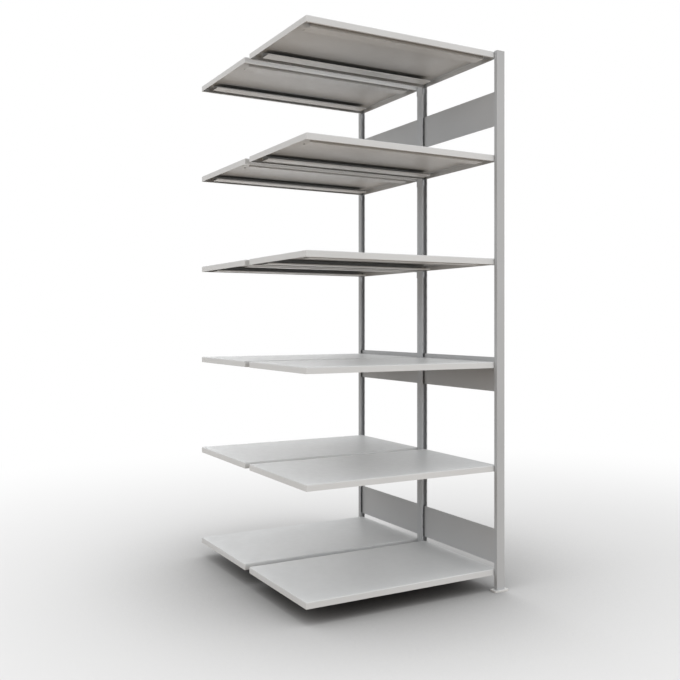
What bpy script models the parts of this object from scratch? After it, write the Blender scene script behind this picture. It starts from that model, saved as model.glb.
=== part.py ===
"""Double-sided boltless shelving, add-on bay: one end frame and six levels of paired shelves.

Metres, +Z up. The origin is on the floor, under the middle of the bay. The end frame stands at +X, the free
ends of the shelves point to -X, and the front is -Y.
"""

import math

import bmesh
import bpy
from mathutils import Matrix, Vector

# Layout of the bay
HEIGHT = 2.500
LEVELS = 6
FIRST_LEVEL = 0.100
MIDDLE_GAP = 0.050

# Shelf: a folded tray with two lipped channels welded under its deck
SHELF_LENGTH = 0.997
SHELF_DEPTH = 0.587
SHELF_FLANGE = 0.028
SHELF_SHEET = 0.0010
SHELF_BEND = 0.0040
SHELF_RETURN = 0.010
STIFFENER_WIDTH = 0.062
STIFFENER_EDGE = 0.052
STIFFENER_LIP = 0.005
STIFFENER_INSET = 0.045
STIFFENER_WELD = 0.0003

# Posts: lipped channels with slotted lips
POST_SHEET = 0.0015
POST_BEND = 0.0010
POST_WIDTH = 0.032
POST_LIP = 0.0055
OUTER_POST_DEPTH = 0.0215
SLOTS_PER_LEVEL = 8
SLOT_WIDTH = 0.0024
SLOT_HEIGHT = 0.016
SLOT_DROP = 0.020

# Cover profile round the front post
COVER_WIDTH = 0.045
COVER_SHEET = 0.0015
COVER_BEND = 0.0025

# Brace panels of the end frame
BRACE_ABOVE_FIRST = 0.020
BRACE_ABOVE_THIRD = 0.021
BRACE_BELOW_TOP = 0.180
BRACE_HEIGHT = 0.160
BRACE_DEPTH = 0.004
BRACE_LEAD = 0.001
BRACE_SHEET = 0.0012
BRACE_BEND = 0.0012
BRACE_FLANGE_SETBACK = 0.002

# Shelf clips
CLIP_SHEET = 0.0020
CLIP_BEND = 0.0018
CLIP_WIDTH = 0.011
CLIP_EDGE = 0.0035
CLIP_LEG = 0.034
CLIP_TONGUE = 0.022
HOOK_WIDTH = 0.0018
HOOK_NECK = 0.0095
HOOK_NOSE = 0.0030
HOOK_DROP = 0.0050

# Feet
SOLE_LENGTH = 0.080
SOLE_MARGIN = 0.00925
SOLE_HEIGHT = 0.008
SOLE_CORNER = 0.006
PLUG_HEIGHT = 0.025

# Clearances
SEAT_GAP = 0.0003
SHELF_POST_GAP = 0.0005
SHELF_END_GAP = 0.0005
CUT_MARGIN = 0.005

# Places that follow from the dimensions above
LEVEL_PITCH = (HEIGHT - FIRST_LEVEL) / (LEVELS - 1)
FRAME_OFFSET = SHELF_LENGTH + SHELF_END_GAP + BRACE_LEAD
BAY_LENGTH = FRAME_OFFSET + SOLE_LENGTH / 2
LEFT_END = -BAY_LENGTH / 2
FRAME_X = LEFT_END + FRAME_OFFSET
SHELF_X = LEFT_END + SHELF_LENGTH / 2
SHELF_Y = MIDDLE_GAP / 2 + SHELF_DEPTH / 2
OUTER_LIP_Y = MIDDLE_GAP / 2 + SHELF_DEPTH + SHELF_POST_GAP
OUTER_WEB_Y = OUTER_LIP_Y + OUTER_POST_DEPTH
OUTER_FACE_Y = OUTER_WEB_Y + SEAT_GAP + COVER_SHEET
MIDDLE_LIP_Y = MIDDLE_GAP / 2 - SHELF_POST_GAP
MIDDLE_WEB_Y = SEAT_GAP / 2
POST_FOOT_Z = SOLE_HEIGHT + SEAT_GAP
SLOT_PITCH = LEVEL_PITCH / SLOTS_PER_LEVEL
FIRST_SLOT_Z = FIRST_LEVEL - SHELF_FLANGE - SLOT_DROP
SLOT_COUNT = int((HEIGHT - FIRST_SLOT_Z - SLOT_HEIGHT) / SLOT_PITCH) + 1
SLOT_X = (POST_WIDTH - POST_SHEET - POST_LIP) / 2
BRACE_BASES = {
    "bottom": FIRST_LEVEL + BRACE_ABOVE_FIRST,
    "middle": FIRST_LEVEL + 2 * LEVEL_PITCH + BRACE_ABOVE_THIRD - BRACE_HEIGHT,
    "top": HEIGHT - BRACE_BELOW_TOP - BRACE_HEIGHT,
}

# Local Z of a drawn outline turned onto the part's Z or X
ALONG = {
    "Z": Matrix.Identity(4),
    "X": Matrix(((0, 0, 1, 0), (1, 0, 0, 0), (0, 1, 0, 0), (0, 0, 0, 1))),
}


def new_collection(name):
    made = bpy.data.collections.new(name)
    bpy.context.scene.collection.children.link(made)
    return made


for old in list(bpy.data.objects):
    bpy.data.objects.remove(old)
BAY = new_collection("double_sided_boltless_shelving")
CUTTERS = new_collection("cutters")
ORIGIN = bpy.data.objects.new("bay_origin", None)
BAY.objects.link(ORIGIN)


def finish(name, colour, roughness, metallic):
    """A Principled material."""
    material = bpy.data.materials.new(name)
    material.use_nodes = True
    shader = material.node_tree.nodes["Principled BSDF"]
    shader.inputs["Base Color"].default_value = (*colour, 1)
    shader.inputs["Roughness"].default_value = roughness
    shader.inputs["Metallic"].default_value = metallic
    return material


def place(name, mesh, location, material):
    """One visible piece of the bay."""
    obj = bpy.data.objects.new(name, mesh)
    BAY.objects.link(obj)
    obj.parent = ORIGIN
    obj.location = location
    if not mesh.materials:
        mesh.materials.append(material)
    return obj


def helper(name, mesh, location=(0, 0, 0)):
    """A wire object that cuts or joins, and is not itself a piece."""
    obj = bpy.data.objects.new(name, mesh)
    CUTTERS.objects.link(obj)
    obj.location = location
    obj.hide_render = True
    obj.display_type = "WIRE"
    return obj


def boolean(obj, other, operation):
    modifier = obj.modifiers.new(f"{operation.lower()} {other.name}", "BOOLEAN")
    modifier.operation = operation
    modifier.solver = "EXACT"
    modifier.object = other


def thicken(obj, thickness):
    modifier = obj.modifiers.new("sheet", "SOLIDIFY")
    modifier.thickness = thickness
    modifier.offset = 0
    modifier.use_even_offset = True


def solved(obj):
    """The mesh of an object with its modifiers applied."""
    bpy.context.view_layer.update()
    graph = bpy.context.evaluated_depsgraph_get()
    return bpy.data.meshes.new_from_object(obj.evaluated_get(graph))


def clear_helpers(*objects):
    for obj in objects:
        bpy.data.objects.remove(obj)


def box(name, low, high, upright_weight=0.0, top_weight=0.0):
    """A cuboid between two corners, with bevel weights on its upright and its top edges."""
    low = Vector(low)
    high = Vector(high)
    mesh = bpy.data.meshes.new(name)
    shape = bmesh.new()
    bmesh.ops.create_cube(shape, size=1)
    bmesh.ops.scale(shape, vec=high - low, verts=shape.verts)
    bmesh.ops.translate(shape, vec=(low + high) / 2, verts=shape.verts)
    weights = shape.edges.layers.float.new("bevel_weight_edge")
    middle = (low.z + high.z) / 2
    for edge in shape.edges:
        above = [vert.co.z > middle for vert in edge.verts]
        if all(above):
            edge[weights] = top_weight
        elif any(above):
            edge[weights] = upright_weight
    shape.to_mesh(mesh)
    shape.free()
    return mesh


def bevel(obj, width, segments):
    modifier = obj.modifiers.new("rounded edges", "BEVEL")
    modifier.limit_method = "WEIGHT"
    modifier.width = width
    modifier.segments = segments


def rounded(path, radius, steps):
    """The path with each inner corner turned into an arc."""
    points = [Vector(path[0])]
    for before, corner, after in zip(path, path[1:], path[2:]):
        corner = Vector(corner)
        back = (Vector(before) - corner).normalized()
        ahead = (Vector(after) - corner).normalized()
        half = back.angle(ahead) / 2
        reach = radius / math.tan(half)
        centre = corner + (back + ahead).normalized() * (radius / math.sin(half))
        start = corner + back * reach - centre
        end = corner + ahead * reach - centre
        first = math.atan2(start.y, start.x)
        turn = (math.atan2(end.y, end.x) - first + math.pi) % math.tau - math.pi
        for step in range(steps + 1):
            angle = first + turn * step / steps
            points.append(centre + radius * Vector((math.cos(angle), math.sin(angle))))
    points.append(Vector(path[-1]))
    return points


def drawn(name, path, low, high, along, closed):
    """A strip that follows the path, or a plate with it as outline, from low to high along one axis."""
    curve = bpy.data.curves.new(name, "CURVE")
    curve.dimensions = "2D"
    curve.fill_mode = "BOTH" if closed else "NONE"
    curve.extrude = (high - low) / 2
    spline = curve.splines.new("POLY")
    spline.points.add(len(path) - 1)
    for point, spot in zip(spline.points, path):
        point.co = (spot[0], spot[1], 0, 1)
    spline.use_cyclic_u = closed
    guide = helper(name, curve)
    mesh = solved(guide)
    clear_helpers(guide)
    shape = bmesh.new()
    shape.from_mesh(mesh)
    bmesh.ops.remove_doubles(shape, verts=shape.verts, dist=1e-6)
    bmesh.ops.recalc_face_normals(shape, faces=shape.faces)
    shape.to_mesh(mesh)
    shape.free()
    mesh.transform(ALONG[along] @ Matrix.Translation((0, 0, (low + high) / 2)))
    return mesh


def shelf_mesh():
    """The tray, with its origin in the middle of its deck's top."""
    length = SHELF_LENGTH / 2
    depth = SHELF_DEPTH / 2
    inner = depth - SHELF_SHEET
    mouth = depth - SHELF_RETURN
    under = -SHELF_SHEET
    ledge = SHELF_SHEET - SHELF_FLANGE
    tray = helper("tray", box("tray", (-length, -depth, -SHELF_FLANGE), (length, depth, 0), 1, 1))
    bevel(tray, SHELF_BEND, 2)
    reach = length - SHELF_SHEET
    hollow = helper("hollow", box("hollow", (-reach, -inner, ledge), (reach, inner, under), 1, 1))
    bevel(hollow, SHELF_BEND - SHELF_SHEET, 2)
    below = -SHELF_FLANGE - CUT_MARGIN
    opening = helper("opening", box("opening", (-reach, -mouth, below), (reach, mouth, ledge + CUT_MARGIN)))
    boolean(tray, hollow, "DIFFERENCE")
    boolean(tray, opening, "DIFFERENCE")
    used = [tray, hollow, opening]
    weld_z = -1.5 * SHELF_SHEET + STIFFENER_WELD
    floor_z = SHELF_SHEET / 2 - SHELF_FLANGE
    end = length - STIFFENER_INSET
    for side in (-1, 1):
        web = side * (depth - STIFFENER_EDGE - SHELF_SHEET / 2)
        brink = side * (depth - STIFFENER_EDGE - STIFFENER_WIDTH + SHELF_SHEET / 2)
        lip_z = floor_z + STIFFENER_LIP
        path = [(brink, weld_z), (web, weld_z), (web, floor_z), (brink, floor_z), (brink, lip_z)]
        rail = helper(f"rail_{side}", drawn("rail", path, -end, end, "X", False))
        thicken(rail, SHELF_SHEET)
        boolean(tray, rail, "UNION")
        used.append(rail)
    mesh = solved(tray)
    mesh.name = "shelf"
    clear_helpers(*used)
    return mesh


def channel(name, lip_y, web_y, material):
    """A lipped channel that stands on its foot, with a column of slots in each lip."""
    inward = math.copysign(POST_SHEET / 2, web_y - lip_y)
    side = POST_WIDTH / 2 - POST_SHEET / 2
    tip = POST_WIDTH / 2 - POST_LIP
    path = [
        (tip, lip_y + inward),
        (side, lip_y + inward),
        (side, web_y - inward),
        (-side, web_y - inward),
        (-side, lip_y + inward),
        (-tip, lip_y + inward),
    ]
    mesh = drawn(name, rounded(path, POST_BEND, 3), POST_FOOT_Z, HEIGHT, "Z", False)
    post = place(name, mesh, (FRAME_X, 0, 0), material)
    thicken(post, POST_SHEET)
    half = Vector((SLOT_WIDTH / 2, 2 * POST_SHEET, SLOT_HEIGHT / 2))
    spot = (FRAME_X - SLOT_X, lip_y + inward, FIRST_SLOT_Z)
    slots = helper(f"{name}_slots", box(f"{name}_slots", -half, half), spot)
    for label, count, step in (("rows", SLOT_COUNT, (0, 0, SLOT_PITCH)), ("lips", 2, (2 * SLOT_X, 0, 0))):
        array = slots.modifiers.new(label, "ARRAY")
        array.count = count
        array.use_relative_offset = False
        array.use_constant_offset = True
        array.constant_offset_displace = step
    boolean(post, slots, "DIFFERENCE")
    return post


def cover(name, material):
    """A profile that wraps the front post from outside, its lips beside the post's lips."""
    side = COVER_WIDTH / 2 - COVER_SHEET / 2
    tip = POST_WIDTH / 2 + SEAT_GAP
    lip_y = -OUTER_LIP_Y - SEAT_GAP - COVER_SHEET / 2
    face_y = COVER_SHEET / 2 - OUTER_FACE_Y
    path = [(tip, lip_y), (side, lip_y), (side, face_y), (-side, face_y), (-side, lip_y), (-tip, lip_y)]
    mesh = drawn(name, rounded(path, COVER_BEND, 3), POST_FOOT_Z, HEIGHT, "Z", False)
    thicken(place(name, mesh, (FRAME_X, 0, 0), material), COVER_SHEET)


def brace_mesh(side):
    """A panel between an outer post and the middle post, its ends folded to nest in the channels."""
    inset = SEAT_GAP + BRACE_SHEET / 2
    panel = BRACE_SHEET / 2 - BRACE_LEAD
    flank = POST_WIDTH / 2 - POST_SHEET - inset
    tip = POST_WIDTH / 2 - POST_LIP + BRACE_SHEET
    outer_lip = OUTER_LIP_Y + POST_SHEET + inset
    outer_web = OUTER_WEB_Y - POST_SHEET - inset
    middle_lip = MIDDLE_LIP_Y - POST_SHEET - inset
    middle_web = MIDDLE_WEB_Y + POST_SHEET + inset
    path = [
        (tip, side * outer_lip),
        (flank, side * outer_lip),
        (flank, side * outer_web),
        (panel, side * outer_web),
        (panel, side * middle_web),
        (flank, side * middle_web),
        (flank, side * middle_lip),
        (tip, side * middle_lip),
    ]
    base = helper("panel", drawn("panel", rounded(path, BRACE_BEND, 2), 0, BRACE_HEIGHT, "Z", False))
    thicken(base, BRACE_SHEET)
    used = [base]
    ends = (side * (OUTER_LIP_Y - BRACE_FLANGE_SETBACK), side * (MIDDLE_LIP_Y + BRACE_FLANGE_SETBACK))
    for label, low in (("lower", 0), ("upper", BRACE_HEIGHT - BRACE_SHEET)):
        corner = (panel, min(ends), low)
        opposite = (BRACE_DEPTH - BRACE_LEAD, max(ends), low + BRACE_SHEET)
        flange = helper(f"{label}_flange", box(label, corner, opposite))
        boolean(base, flange, "UNION")
        used.append(flange)
    mesh = solved(base)
    mesh.name = "brace_front" if side < 0 else "brace_rear"
    clear_helpers(*used)
    return mesh


def clip_mesh(name, toward):
    """A bent clip with its origin where the lip's face meets the plane of the shelf's bottom."""
    leg_y = toward * (SEAT_GAP + CLIP_SHEET / 2)
    top_z = -SEAT_GAP - CLIP_SHEET / 2
    path = [(leg_y, -CLIP_LEG), (leg_y, top_z), (toward * (SEAT_GAP + CLIP_TONGUE), top_z)]
    edge = -SLOT_X - CLIP_EDGE
    plate = helper("plate", drawn("plate", rounded(path, CLIP_BEND, 2), edge, edge + CLIP_WIDTH, "X", False))
    thicken(plate, CLIP_SHEET)
    root = -toward * (-SEAT_GAP - CLIP_SHEET / 2)
    behind = -toward * (POST_SHEET + SEAT_GAP)
    tip = -toward * (POST_SHEET + SEAT_GAP + HOOK_NOSE)
    sill = -SLOT_DROP - SLOT_HEIGHT / 2
    neck = sill + SEAT_GAP
    crown = neck + HOOK_NECK
    outline = [
        (root, neck),
        (behind, neck),
        (behind, sill - HOOK_DROP),
        (tip, sill - HOOK_DROP),
        (tip, crown - HOOK_NOSE),
        (behind, crown),
        (root, crown),
    ]
    low = -SLOT_X - HOOK_WIDTH / 2
    hook = helper("hook", drawn("hook", outline, low, low + HOOK_WIDTH, "X", True))
    boolean(plate, hook, "UNION")
    mesh = solved(plate)
    mesh.name = name
    clear_helpers(plate, hook)
    return mesh


def foot(name, middle_y, depth, plugs, material):
    """A sole with a plug for each channel that stands on it."""
    low = (-SOLE_LENGTH / 2, -depth / 2, 0)
    high = (SOLE_LENGTH / 2, depth / 2, SOLE_HEIGHT)
    sole = place(name, box(name, low, high, 1, 0.25), (FRAME_X, middle_y, 0), material)
    bevel(sole, SOLE_CORNER, 3)
    inset = POST_SHEET + SEAT_GAP
    reach = POST_WIDTH / 2 - inset
    for number, (near, far) in enumerate(plugs):
        corner = (-reach, min(near, far) + inset, SOLE_HEIGHT / 2)
        opposite = (reach, max(near, far) - inset, SOLE_HEIGHT + PLUG_HEIGHT)
        plug = helper(f"{name}_plug_{number}", box(f"{name}_plug", corner, opposite, 1, 1), (FRAME_X, 0, 0))
        bevel(plug, POST_BEND, 1)
        boolean(sole, plug, "UNION")
    return sole


shelf_paint = finish("shelf_paint", (0.60, 0.61, 0.60), 0.42, 0.0)
post_paint = finish("post_paint", (0.52, 0.53, 0.52), 0.40, 0.0)
brace_paint = finish("brace_paint", (0.47, 0.47, 0.46), 0.42, 0.0)
clip_zinc = finish("clip_zinc", (0.55, 0.56, 0.57), 0.35, 0.9)
foot_plastic = finish("foot_plastic", (0.58, 0.58, 0.56), 0.55, 0.0)

# Posts
channel("post_front", -OUTER_LIP_Y, -OUTER_WEB_Y, post_paint)
channel("post_middle_front", -MIDDLE_LIP_Y, -MIDDLE_WEB_Y, post_paint)
channel("post_middle_rear", MIDDLE_LIP_Y, MIDDLE_WEB_Y, post_paint)
channel("post_rear", OUTER_LIP_Y, OUTER_WEB_Y, post_paint)
cover("cover_front", post_paint)

# Feet
outer_depth = OUTER_FACE_Y - OUTER_LIP_Y + 2 * SOLE_MARGIN
outer_y = (OUTER_LIP_Y + OUTER_FACE_Y) / 2
for side, name in ((-1, "foot_front"), (1, "foot_rear")):
    foot(name, side * outer_y, outer_depth, [(side * OUTER_LIP_Y, side * OUTER_WEB_Y)], foot_plastic)
plugs = [(side * MIDDLE_LIP_Y, side * MIDDLE_WEB_Y) for side in (-1, 1)]
foot("foot_middle", 0, 2 * MIDDLE_LIP_Y + 2 * SOLE_MARGIN, plugs, foot_plastic)

# Brace panels
for side, face in ((-1, "front"), (1, "rear")):
    mesh = brace_mesh(side)
    for height, base in BRACE_BASES.items():
        place(f"brace_{height}_{face}", mesh, (FRAME_X, 0, base), brace_paint)

# Shelves and the clips that carry them
tray = shelf_mesh()
clips = {
    "front": (-OUTER_LIP_Y, 1),
    "middle_front": (-MIDDLE_LIP_Y, -1),
    "middle_rear": (MIDDLE_LIP_Y, 1),
    "rear": (OUTER_LIP_Y, -1),
}
bent = {toward: clip_mesh(f"clip_{face}", toward) for face, toward in (("front", 1), ("rear", -1))}
for level in range(LEVELS):
    top = FIRST_LEVEL + level * LEVEL_PITCH
    place(f"shelf_front_{level + 1}", tray, (SHELF_X, -SHELF_Y, top), shelf_paint)
    place(f"shelf_rear_{level + 1}", tray, (SHELF_X, SHELF_Y, top), shelf_paint)
    for spot, (lip_y, toward) in clips.items():
        place(f"clip_{spot}_{level + 1}", bent[toward], (FRAME_X, lip_y, top - SHELF_FLANGE), clip_zinc)
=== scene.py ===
"""Looks of the double-sided boltless shelving bay: paint, small fasteners, floor, light and camera."""

import math

import bmesh
import bpy
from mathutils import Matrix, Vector


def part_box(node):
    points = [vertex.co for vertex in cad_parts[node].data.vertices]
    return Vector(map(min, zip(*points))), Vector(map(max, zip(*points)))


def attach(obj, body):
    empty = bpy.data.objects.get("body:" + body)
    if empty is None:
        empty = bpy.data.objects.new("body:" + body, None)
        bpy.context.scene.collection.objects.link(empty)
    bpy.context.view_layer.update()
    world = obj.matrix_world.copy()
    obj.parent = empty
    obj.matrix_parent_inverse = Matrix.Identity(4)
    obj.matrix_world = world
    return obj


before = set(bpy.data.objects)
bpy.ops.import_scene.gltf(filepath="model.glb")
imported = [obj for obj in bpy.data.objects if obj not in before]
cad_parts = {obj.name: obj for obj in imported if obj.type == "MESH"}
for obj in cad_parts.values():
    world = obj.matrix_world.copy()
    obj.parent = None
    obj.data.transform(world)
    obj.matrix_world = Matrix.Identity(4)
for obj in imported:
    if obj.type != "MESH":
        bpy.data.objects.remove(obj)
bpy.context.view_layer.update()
scene = bpy.context.scene

WHITE = (1, 1, 1, 1)
BLACK = (0, 0, 0, 1)

# Base colours of the finishes: linear red, green and blue
SHELF_GREY = (0.555, 0.565, 0.57)
POST_GREY = (0.40, 0.41, 0.42)
BRACE_GREY = (0.42, 0.425, 0.43)
CLIP_GREY = (0.30, 0.305, 0.31)
FOOT_GREY = (0.56, 0.565, 0.56)

# The middle of a noise's range, which is spread over the whole range of what it drives
NOISE_LOW = 0.3
NOISE_HIGH = 0.7

# Sockets of a colour Mix node, by number because several of them share a name
MIX_FACTOR = 0
MIX_FIRST = 6
MIX_SECOND = 7
MIX_RESULT = 2


class Shader:
    """A Principled material whose nodes are added and linked by short calls."""

    def __init__(self, name, **constants):
        self.material = bpy.data.materials.new(name)
        self.material.use_nodes = True
        self.tree = self.material.node_tree
        self.principled = self.tree.nodes["Principled BSDF"]
        for socket, value in constants.items():
            self.principled.inputs[socket.replace("_", " ")].default_value = value

    def add(self, kind, inputs=None, **settings):
        """A node, with settings as attributes and inputs as constants or as output sockets."""
        node = self.tree.nodes.new(f"ShaderNode{kind}")
        for key, value in settings.items():
            setattr(node, key, value)
        for key, value in (inputs or {}).items():
            if isinstance(value, bpy.types.NodeSocket):
                self.tree.links.new(value, node.inputs[key])
            else:
                node.inputs[key].default_value = value
        return node

    def noise(self, scale, detail, stretch=(1, 1, 1)):
        """Soft noise in the piece's own space."""
        spot = self.add("TexCoord").outputs["Object"]
        spot = self.add("Mapping", {"Vector": spot, "Scale": stretch}).outputs["Vector"]
        return self.add("TexNoise", {"Vector": spot, "Scale": scale, "Detail": detail}).outputs["Fac"]

    def span(self, value, low, high, to_low=0, to_high=1):
        """The value, moved from the range between low and high to another range."""
        inputs = {"Value": value, "From Min": low, "From Max": high, "To Min": to_low, "To Max": to_high}
        return self.add("MapRange", inputs).outputs["Result"]

    def spread(self, noise, to_low=0, to_high=1):
        """The middle of a noise's range, spread over another range."""
        return self.span(noise, NOISE_LOW, NOISE_HIGH, to_low, to_high)

    def mix(self, factor, first, second):
        """A colour between the first and the second, by the factor."""
        inputs = {MIX_FACTOR: factor, MIX_FIRST: first, MIX_SECOND: second}
        return self.add("Mix", inputs, data_type="RGBA").outputs[MIX_RESULT]

    def feed(self, socket, value):
        """Links an output to a socket of the Principled node."""
        self.tree.links.new(value, self.principled.inputs[socket])

    def relief(self, height, strength, depth):
        """A fine relief in the surface."""
        bump = self.add("Bump", {"Height": height, "Strength": strength, "Distance": depth})
        self.feed("Normal", bump.outputs["Normal"])


def shade(colour, factor):
    """A colour made darker or lighter, with its alpha."""
    return (*(part * factor for part in colour), 1)


def powder_coat(name, colour, roughness=0.42, fold_shade_share=0.30, reach=0.045):
    """Satin powder coat: faint mottling, fine orange peel, lighter rubbed edges, painted shade in narrow
    folds.

    The painted shade takes the colour down to the given share of it, in folds that close in within the
    reach.
    """
    edge_radius = 0.0016
    edge_starts = 0.995
    edge_full = 0.90
    rubbed = 1.16
    fold_full = 0.1
    fold_ends = 0.45
    unevenness = 0.06
    shader = Shader(name, Metallic=0.0, Specular_IOR_Level=0.22)
    mottle = shader.spread(shader.noise(scale=2.3, detail=4))
    base = shader.mix(mottle, shade(colour, 0.965), shade(colour, 1.03))
    rounded = shader.add("Bevel", {"Radius": edge_radius}, samples=4).outputs["Normal"]
    facing = shader.add("NewGeometry").outputs["Normal"]
    alike = shader.add("VectorMath", {0: rounded, 1: facing}, operation="DOT_PRODUCT").outputs["Value"]
    edge = shader.span(alike, edge_starts, edge_full)
    patchy = shader.span(shader.noise(scale=24, detail=5), 0.42, 0.66, to_low=0.15, to_high=0.7)
    worn = shader.add("Math", {0: edge, 1: patchy}, operation="MULTIPLY").outputs["Value"]
    painted = shader.mix(worn, base, shade(colour, rubbed))
    # Painted shade: the colour darkens where the surface is closed in within the reach
    openness = shader.add("AmbientOcclusion", {"Distance": reach}, samples=8).outputs["AO"]
    painted_fold_shade = shader.span(openness, fold_full, fold_ends, to_low=1, to_high=0)
    shader.feed("Base Color", shader.mix(painted_fold_shade, painted, shade(colour, fold_shade_share)))
    gloss = shader.noise(scale=35, detail=3)
    shader.feed("Roughness", shader.spread(gloss, roughness - unevenness, roughness + unevenness))
    shader.relief(shader.noise(scale=520, detail=2), strength=0.35, depth=0.0006)
    return shader.material


def zinc(name, colour):
    """Bright zinc plate with fine rolling marks."""
    shader = Shader(name, Metallic=0.85)
    cloud = shader.spread(shader.noise(scale=60, detail=4))
    shader.feed("Base Color", shader.mix(cloud, shade(colour, 0.9), shade(colour, 1.08)))
    grain = shader.noise(scale=300, detail=2, stretch=(1, 1, 0.08))
    shader.feed("Roughness", shader.spread(grain, to_low=0.28, to_high=0.46))
    shader.relief(grain, strength=0.08, depth=0.0003)
    return shader.material


def moulded(name, colour):
    """Fine-textured moulded plastic."""
    shader = Shader(name, Metallic=0.0)
    cloud = shader.spread(shader.noise(scale=30, detail=3))
    shader.feed("Base Color", shader.mix(cloud, shade(colour, 0.95), shade(colour, 1.04)))
    gloss = shader.noise(scale=90, detail=3)
    shader.feed("Roughness", shader.spread(gloss, to_low=0.48, to_high=0.62))
    shader.relief(shader.noise(scale=1500, detail=3), strength=0.2, depth=0.0003)
    return shader.material


# Shelves and posts each take their own share and reach of painted shade in folds
shelf_paint = powder_coat("shelf_paint", SHELF_GREY, fold_shade_share=0.25, reach=0.08)
post_paint = powder_coat("post_paint", POST_GREY, roughness=0.40, fold_shade_share=0.9)
# The finish of each CAD node, by the first word of its name
finishes = {
    "shelf": shelf_paint,
    "post": post_paint,
    "cover": post_paint,
    "brace": powder_coat("brace_paint", BRACE_GREY),
    "clip": zinc("clip_zinc", CLIP_GREY),
    "foot": moulded("foot_plastic", FOOT_GREY),
}
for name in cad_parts:
    mesh = bpy.data.objects[name].data
    mesh.materials.clear()
    mesh.materials.append(finishes[name.split("_")[0]])


FRONT = Vector((0, -1, 0))
REAR = Vector((0, 1, 0))
LEFT = Vector((-1, 0, 0))
RIGHT = Vector((1, 0, 0))
DOWN = Vector((0, 0, -1))

# Turned outlines, from the axis at the seat to the axis at the top: radius and height
RIVET = ((0, 0), (0.0046, 0), (0.0046, 0.00035), (0.0041, 0.0008), (0.0030, 0.00115), (0.0019, 0.0013),
         (0.0015, 0.0013), (0.0014, 0.0006), (0, 0.00055))
SPOT_WELD = ((0, 0), (0.0031, 0), (0.0028, 0.00018), (0.0023, 0.00024), (0.0016, 0.0001), (0, 0.00006))
RIVET_STEPS = 16
WELD_STEPS = 12

# Shelf: its sheet and corner bend, the middle of a stiffener from the shelf's long edge, the underside
# of the stiffener's welded leg below the deck's top, and the welds along it from the shelf's ends
SHELF_SHEET = 0.001
SHELF_BEND = 0.004
STIFFENER_MIDDLE = 0.083
STIFFENER_LEG = 0.0017
WELD_COUNT = 9
WELD_INSET = 0.085

# Corner tabs of a shelf, lifted clear of its lowest sheet
TAB_SIZE = 0.022
TAB_CLIP = 0.004
TAB_SHEET = 0.0008
TAB_LIFT = 0.0013
TAB_WELD_ALONG = 0.011
TAB_WELD_HEIGHTS = (0.0065, 0.0155)

# Rivets of the end frame: heights above the floor, and heights above the lower edge of a brace
POST_SHEET = 0.0015
JOINING_RIVETS = (0.40, 0.80, 1.30, 1.78, 2.10, 2.40)
BRACE_RIVETS = (0.035, 0.125)


def corners(name):
    """A CAD node's lowest and highest corners."""
    low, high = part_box(name)
    return Vector(low), Vector(high)


def add_piece(name, shape, body, material):
    """A finished piece from a bmesh, riding on a body."""
    mesh = bpy.data.meshes.new(name)
    bmesh.ops.recalc_face_normals(shape, faces=shape.faces)
    shape.to_mesh(mesh)
    shape.free()
    piece = bpy.data.objects.new(name, mesh)
    scene.collection.objects.link(piece)
    mesh.materials.append(material)
    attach(piece, body)


def turn(shape, outline, place, facing, steps):
    """A closed turned head on the place given, with its axis along the facing."""
    rotation = facing.to_track_quat("Z", "Y").to_matrix()
    rings = []
    for radius, height in outline:
        count = steps if radius else 1
        angles = [2 * math.pi * step / count for step in range(count)]
        spots = [Vector((radius * math.cos(a), radius * math.sin(a), height)) for a in angles]
        rings.append([shape.verts.new(place + rotation @ spot) for spot in spots])
    for low, high in zip(rings, rings[1:]):
        for step in range(steps):
            ahead = (step + 1) % steps
            below = [low[step % len(low)], low[ahead % len(low)]]
            above = [high[ahead % len(high)], high[step % len(high)]]
            # At the axis both corners are one point, which is kept once
            face = shape.faces.new(dict.fromkeys(below + above))
            face.smooth = len(low) > 1


def corner_tab(shape, place, inward, along):
    """A folded tab against a tray's end flange, with its two free corners clipped."""
    clipped = TAB_SIZE - TAB_CLIP
    outline = (
        (0, 0),
        (clipped, 0),
        (TAB_SIZE, TAB_CLIP),
        (TAB_SIZE, clipped),
        (clipped, TAB_SIZE),
        (0, TAB_SIZE),
    )
    near = [shape.verts.new(place + along * y + Vector((0, 0, z))) for y, z in outline]
    far = [shape.verts.new(vert.co + inward * TAB_SHEET) for vert in near]
    shape.faces.new(near)
    shape.faces.new(far)
    for step in range(len(outline)):
        shape.faces.new((near[step - 1], near[step], far[step], far[step - 1]))
    for z in TAB_WELD_HEIGHTS:
        spot = place + along * TAB_WELD_ALONG + inward * TAB_SHEET + Vector((0, 0, z))
        turn(shape, SPOT_WELD, spot, inward, WELD_STEPS)


def add_shelf_welds():
    """Spot welds along both stiffeners, and the welded corner tabs, of each shelf."""
    for name in [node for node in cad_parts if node.startswith("shelf_")]:
        low, high = corners(name)
        shape = bmesh.new()
        run = high.x - low.x - 2 * WELD_INSET
        for y in (low.y + STIFFENER_MIDDLE, high.y - STIFFENER_MIDDLE):
            for step in range(WELD_COUNT):
                x = low.x + WELD_INSET + step * run / (WELD_COUNT - 1)
                turn(shape, SPOT_WELD, Vector((x, y, high.z - STIFFENER_LEG)), DOWN, WELD_STEPS)
        for x, inward in ((low.x + SHELF_SHEET, RIGHT), (high.x - SHELF_SHEET, LEFT)):
            for y, along in ((low.y + SHELF_BEND, REAR), (high.y - SHELF_BEND, FRONT)):
                corner_tab(shape, Vector((x, y, low.z + TAB_LIFT)), inward, along)
        add_piece(f"welds_{name}", shape, name, finishes["shelf"])


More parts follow.
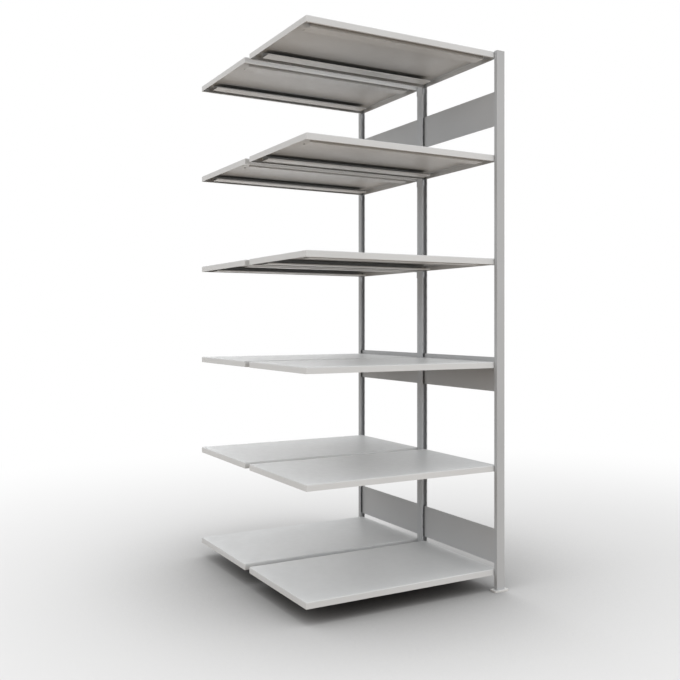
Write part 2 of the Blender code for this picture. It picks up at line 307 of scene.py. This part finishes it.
def add_rivets():
    """Rivets that join the middle channels, and those that hold the braces' folded ends in the posts."""
    shape = bmesh.new()
    for name, facing in (("post_middle_front", FRONT), ("post_middle_rear", REAR)):
        low, high = corners(name)
        middle = (low.x + high.x) / 2
        web = high.y if facing is FRONT else low.y
        inside = web + facing.y * POST_SHEET
        for height in JOINING_RIVETS:
            turn(shape, RIVET, Vector((middle, inside, height)), facing, RIVET_STEPS)
    for name in ("post_middle_front", "post_middle_rear", "post_rear"):
        low, high = corners(name)
        middle = (low.y + high.y) / 2
        for level in ("bottom", "middle", "top"):
            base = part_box(f"brace_{level}_front")[0][2]
            for height in BRACE_RIVETS:
                turn(shape, RIVET, Vector((high.x, middle, base + height)), RIGHT, RIVET_STEPS)
    add_piece("rivets", shape, "end_frame", finishes["post"])


add_shelf_welds()
add_rivets()


# Floor: its size, the tone that it shows, and the browner tone with which it lights the undersides
FLOOR_SIZE = 60
FLOOR_TONE = (0.65, 0.65, 0.65, 1)
FLOOR_BOUNCE = (0.34, 0.268, 0.20, 1)
# Distances from the centre of the fade at which the floor starts to turn white and is white
FADE_CENTRE = (0.3, -0.5, 0)
FADE_START = 0.7
FADE_END = 4.8
# Painted shadow on the floor: how far from the bay its colour darkens, and the share of its tone that is
# left where the painted shadow is deepest
PAINTED_SHADOW_REACH = 1.3
PAINTED_SHADOW_TONE = 0.07

DOME_STRENGTH = 0.86

# Camera, as fitted to the photograph: level, with its sensor and lens in millimetres
CAMERA_PLACE = (-2.10365, -3.7171, 1.2446)
CAMERA_TILT = 90
CAMERA_TURN = -29.30
CAMERA_SENSOR = 36
CAMERA_LENS = 45.23
CAMERA_SHIFT = -0.0263


def seen_rays(tree):
    """1 for rays from the camera, in reflections and through glass, and 0 for those that bring light."""
    path = tree.nodes.new("ShaderNodeLightPath")
    seen = path.outputs["Is Camera Ray"]
    for ray in ("Is Glossy Ray", "Is Transmission Ray"):
        either = tree.nodes.new("ShaderNodeMath")
        either.operation = "MAXIMUM"
        tree.links.new(seen, either.inputs[0])
        tree.links.new(path.outputs[ray], either.inputs[1])
        seen = either.outputs[0]
    return seen


def add_floor():
    """A pale floor that fades to white away from the bay, keeps its cast shadow and has a painted shadow
    near the bay.
    """
    bpy.ops.mesh.primitive_plane_add(size=FLOOR_SIZE)
    floor = bpy.context.object
    floor.name = "floor"
    shader = Shader("floor", Roughness=0.9, Specular_IOR_Level=0.1)
    spot = shader.add("NewGeometry").outputs["Position"]
    away = shader.add("VectorMath", {0: spot, 1: FADE_CENTRE}, operation="DISTANCE").outputs["Value"]
    limits = {"Value": away, "From Min": FADE_START, "From Max": FADE_END}
    fade = shader.add("MapRange", limits, interpolation_type="SMOOTHSTEP").outputs["Result"]
    # Painted shadow: the floor's colour darkens where the bay closes it in
    openness = shader.add("AmbientOcclusion", {"Distance": PAINTED_SHADOW_REACH}, samples=16).outputs["AO"]
    tone = shader.mix(shader.span(openness, 0, 1, to_low=PAINTED_SHADOW_TONE), BLACK, FLOOR_TONE)
    seen = seen_rays(shader.tree)
    shader.feed("Base Color", shader.mix(seen, FLOOR_BOUNCE, tone))
    whiteness = shader.add("Math", {0: fade, 1: seen}, operation="MULTIPLY").outputs["Value"]
    white = shader.add("Emission", {"Color": WHITE, "Strength": 1.0}).outputs["Emission"]
    layers = {0: whiteness, 1: shader.principled.outputs["BSDF"], 2: white}
    surface = shader.add("MixShader", layers).outputs["Shader"]
    shader.tree.links.new(surface, shader.tree.nodes["Material Output"].inputs["Surface"])
    floor.data.materials.append(shader.material)


def add_world():
    """White for the camera and for reflections, an even soft dome for the light."""
    world = bpy.data.worlds.new("studio")
    scene.world = world
    world.use_nodes = True
    tree = world.node_tree
    dome = tree.nodes["Background"]
    dome.inputs["Color"].default_value = WHITE
    dome.inputs["Strength"].default_value = DOME_STRENGTH
    white = tree.nodes.new("ShaderNodeBackground")
    white.inputs["Color"].default_value = WHITE
    white.inputs["Strength"].default_value = 1.0
    blend = tree.nodes.new("ShaderNodeMixShader")
    tree.links.new(seen_rays(tree), blend.inputs[0])
    tree.links.new(dome.outputs[0], blend.inputs[1])
    tree.links.new(white.outputs[0], blend.inputs[2])
    tree.links.new(blend.outputs[0], tree.nodes["World Output"].inputs["Surface"])


def add_lamp(name, place, target, size, power, mirrored):
    """A round area lamp, out of the camera's sight, aimed from its place at the target."""
    data = bpy.data.lights.new(name, "AREA")
    data.shape = "DISK"
    data.size = size
    data.energy = power
    lamp = bpy.data.objects.new(name, data)
    scene.collection.objects.link(lamp)
    lamp.location = place
    lamp.visible_camera = False
    lamp.visible_glossy = mirrored
    aim = [b - a for a, b in zip(place, target)]
    lamp.rotation_euler = (
        math.atan2(math.hypot(aim[0], aim[1]), -aim[2]),
        0,
        math.atan2(aim[1], aim[0]) - math.pi / 2,
    )


def add_camera():
    """The photograph's viewpoint."""
    data = bpy.data.cameras.new("camera")
    data.sensor_width = CAMERA_SENSOR
    data.lens = CAMERA_LENS
    data.shift_y = CAMERA_SHIFT
    camera = bpy.data.objects.new("camera", data)
    scene.collection.objects.link(camera)
    camera.location = CAMERA_PLACE
    camera.rotation_euler = (math.radians(CAMERA_TILT), 0, math.radians(CAMERA_TURN))
    scene.camera = camera


add_floor()
add_world()
add_lamp("front", place=(0.6, -6.0, 1.9), target=(0, 0, 1.3), size=3.0, power=130, mirrored=False)
add_lamp("side", place=(-6.0, 0.2, 2.2), target=(0, 0, 1.2), size=3.0, power=94, mirrored=False)
add_lamp("far_side", place=(6.0, 1.5, 2.4), target=(0, 0, 1.2), size=3.0, power=30, mirrored=False)
add_lamp("back", place=(1.0, 6.0, 1.8), target=(0, 0, 1.0), size=4.4, power=54, mirrored=True)
add_lamp("top", place=(0.0, -0.5, 6.5), target=(0, 0, 1.0), size=3.0, power=88, mirrored=True)
add_camera()
scene.view_settings.view_transform = "Standard"
